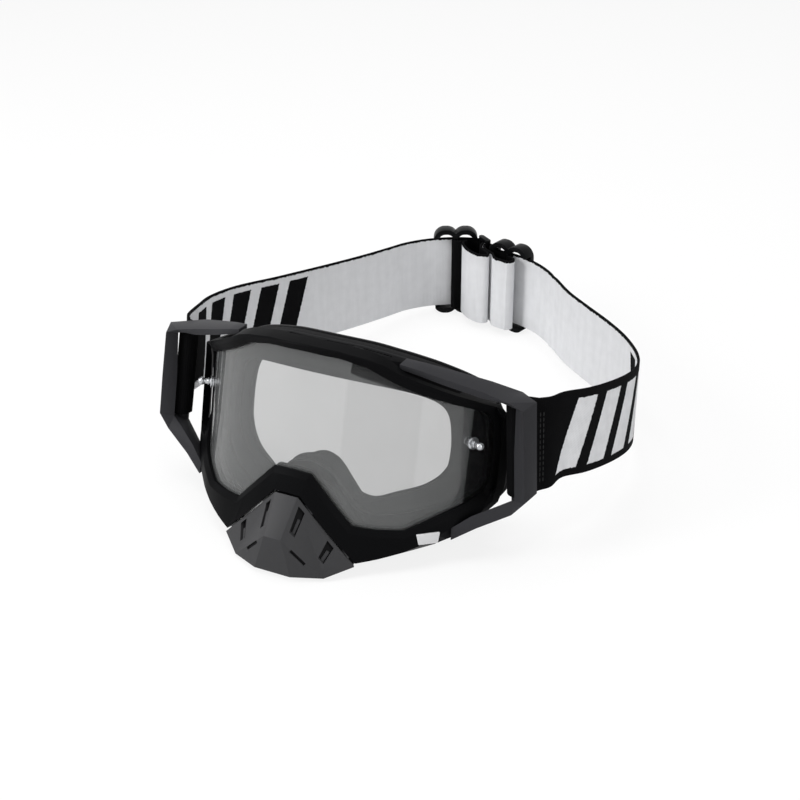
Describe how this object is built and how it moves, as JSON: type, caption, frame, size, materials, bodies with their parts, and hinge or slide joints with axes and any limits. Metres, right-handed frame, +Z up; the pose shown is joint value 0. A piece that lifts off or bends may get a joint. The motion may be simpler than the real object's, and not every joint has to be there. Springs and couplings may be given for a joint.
{
  "type": "motocross goggles",
  "caption": "Motocross goggles with a clear curved lens, tear-off posts, nose guard, layered face foam, outriggers and a wide elastic strap with sliding adjusters",
  "frame": {"origin": "middle of the bounding box in plan, on the surface that the goggles stand on", "axes": "+Z up, the lens faces -Y, the strap runs back to +Y, +X is the left hand of a wearer who looks along -Y"},
  "size_m": [0.219, 0.2995, 0.1003],
  "materials": {
    "frame": "satin moulded plastic",
    "lens": "clear polished polycarbonate",
    "posts": "silvery polished plastic",
    "outriggers": "satin moulded plastic",
    "nose_guard": "satin moulded plastic, a little lighter than the frame",
    "badge": "smooth white plastic",
    "firm_foam": "dense dark foam",
    "soft_foam": "open dark grey foam",
    "fleece": "fuzzy black fleece",
    "strap": "woven elastic, light grey inside and black with white bars outside",
    "adjusters": "satin black moulded plastic"
  },
  "bodies": {
    "goggles": {"frame": "frame", "lens": "lens", "post_left": "posts", "post_right": "posts", "washer_left": "posts", "washer_right": "posts", "outrigger_left": "outriggers", "outrigger_right": "outriggers", "badge": "badge", "foam_base": "firm_foam", "foam_core": "soft_foam", "foam_fleece": "fleece", "vent_foam_top": "firm_foam", "vent_foam_left": "firm_foam", "vent_foam_right": "firm_foam", "strap_left": "strap", "strap_right": "strap", "centre_link": "adjusters"},
    "guard": {"nose_guard": "nose_guard"},
    "slider_left": {"adjuster_left": "adjusters", "strap_tab_left": "strap"},
    "slider_right": {"adjuster_right": "adjusters", "strap_tab_right": "strap"}
  },
  "joints": [
    {"name": "guard_pull_off", "type": "slide", "parent": "goggles", "child": "guard", "axis": [0, -0.9703, 0.2419], "range_m": [0, 0.014]},
    {"name": "adjuster_left_slide", "type": "hinge", "parent": "goggles", "child": "slider_left", "pos_m": [-0.02237, 0.08909, 0.0275], "axis": [0, 0, 1], "range_deg": [0, 30]},
    {"name": "adjuster_right_slide", "type": "hinge", "parent": "goggles", "child": "slider_right", "pos_m": [-0.02167, 0.07449, 0.0275], "axis": [0, 0, -1], "range_deg": [0, 20]}
  ]
}
